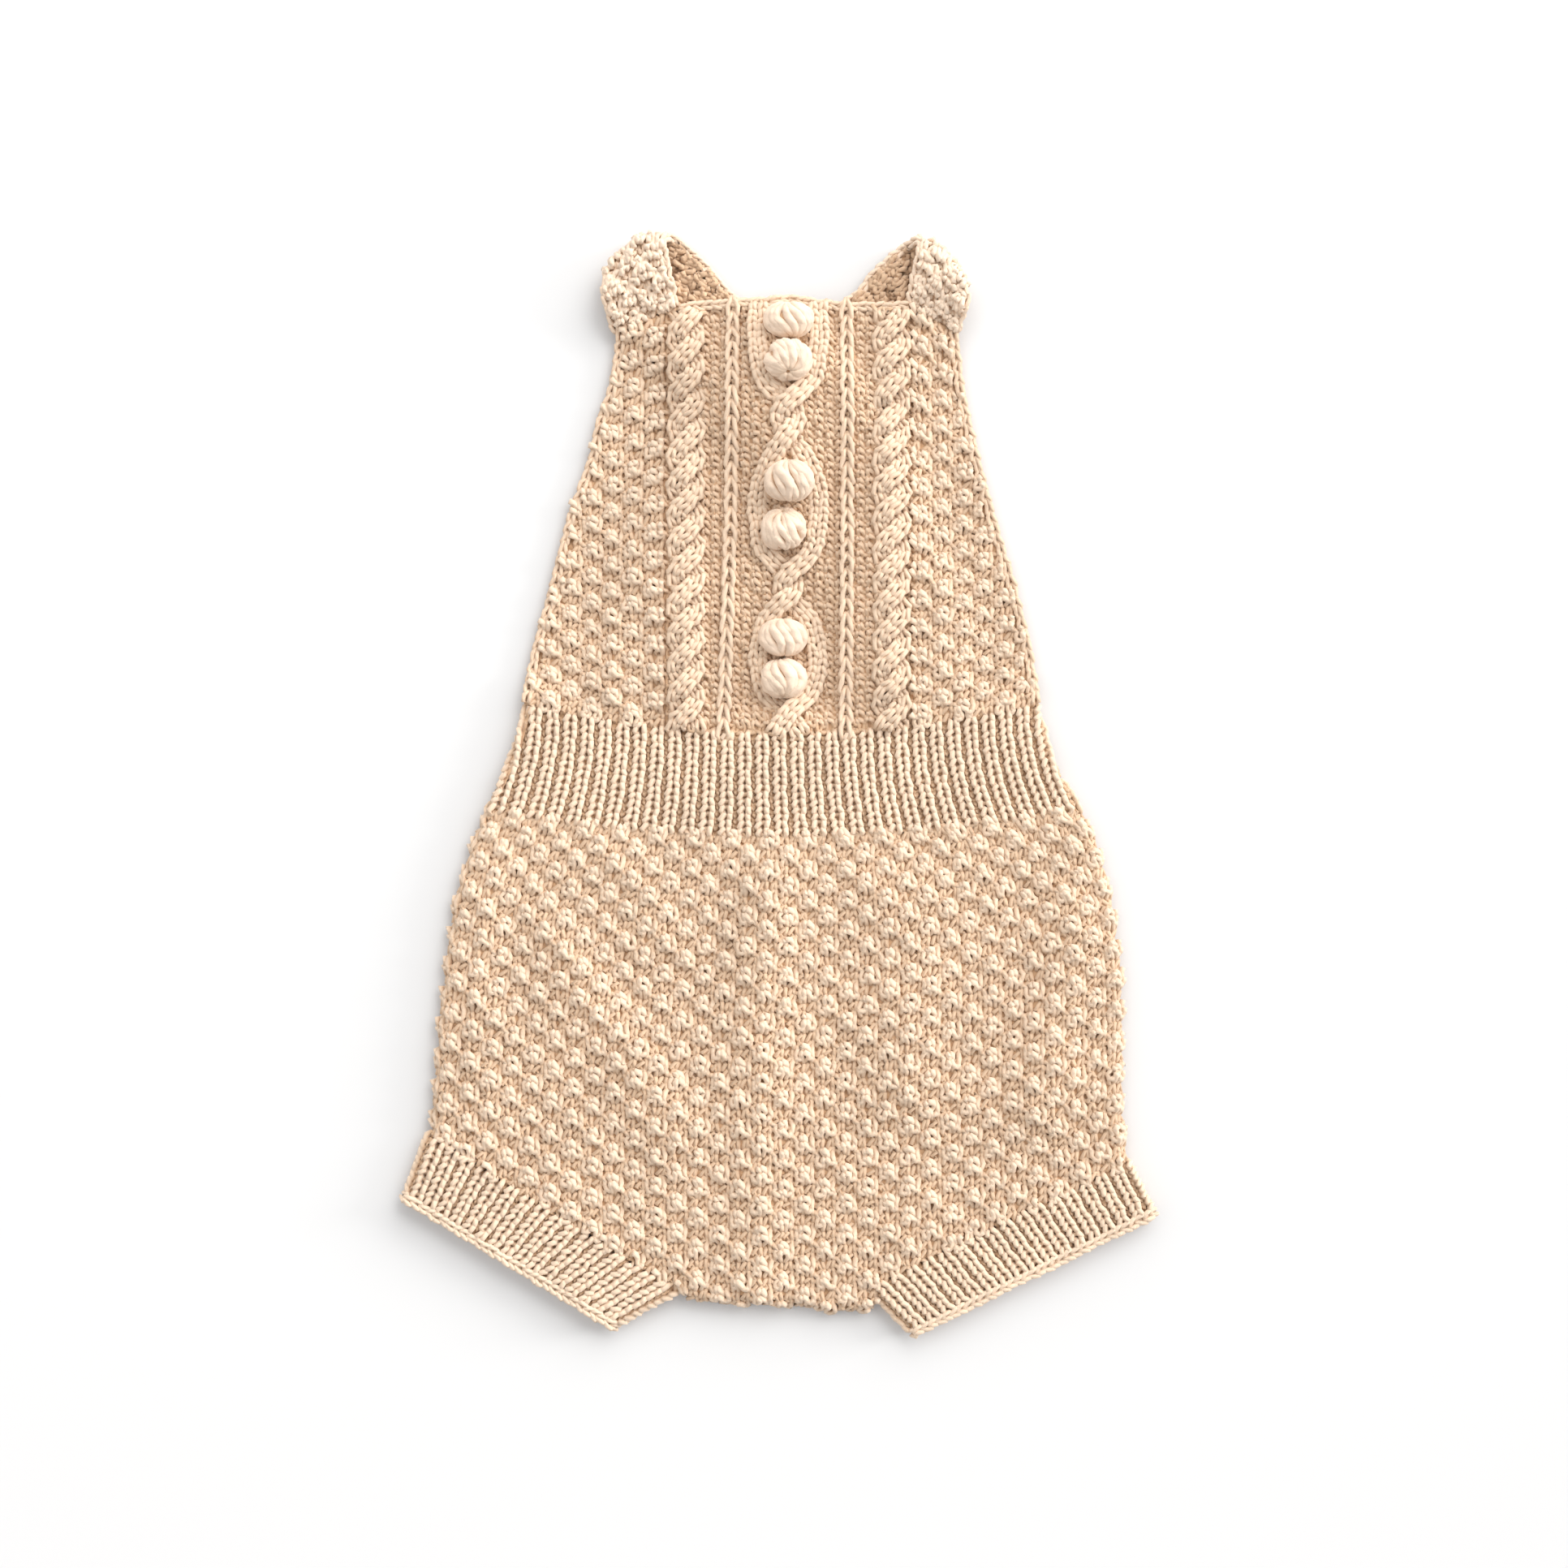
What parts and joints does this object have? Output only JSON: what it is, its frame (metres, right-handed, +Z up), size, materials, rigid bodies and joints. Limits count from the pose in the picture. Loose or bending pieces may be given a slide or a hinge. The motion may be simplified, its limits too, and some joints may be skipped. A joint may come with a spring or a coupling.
{
  "type": "knitted baby romper",
  "caption": "Hand-knitted baby romper laid flat: bib with cables and bobbles, straps folded over the shoulders and crossed behind, ribbed waistband, moss-stitch shorts, ribbed leg cuffs",
  "frame": {"origin": "middle of the outline, on the surface the romper lies on", "axes": "+Y from the leg cuffs to the straps, +Z up from the surface, out of the front of the garment; +X to the right as the front is seen"},
  "size_m": [0.2625, 0.3812, 0.0165],
  "materials": {
    "yarn_body": "matt knitted yarn, oatmeal cream",
    "yarn_rib": "matt knitted yarn in narrow ribs, oatmeal cream",
    "yarn_bobble": "matt yarn gathered into balls, pale cream"
  },
  "bodies": {
    "root": {"front_bib": "yarn_body", "strap_left": "yarn_body", "strap_right": "yarn_body", "waistband": "yarn_rib", "shorts_front": "yarn_body", "shorts_back": "yarn_body", "cuff_left": "yarn_rib", "cuff_right": "yarn_rib", "bobble_1": "yarn_bobble", "bobble_2": "yarn_bobble", "bobble_3": "yarn_bobble", "bobble_4": "yarn_bobble", "bobble_5": "yarn_bobble", "bobble_6": "yarn_bobble"}
  },
  "joints": []
}
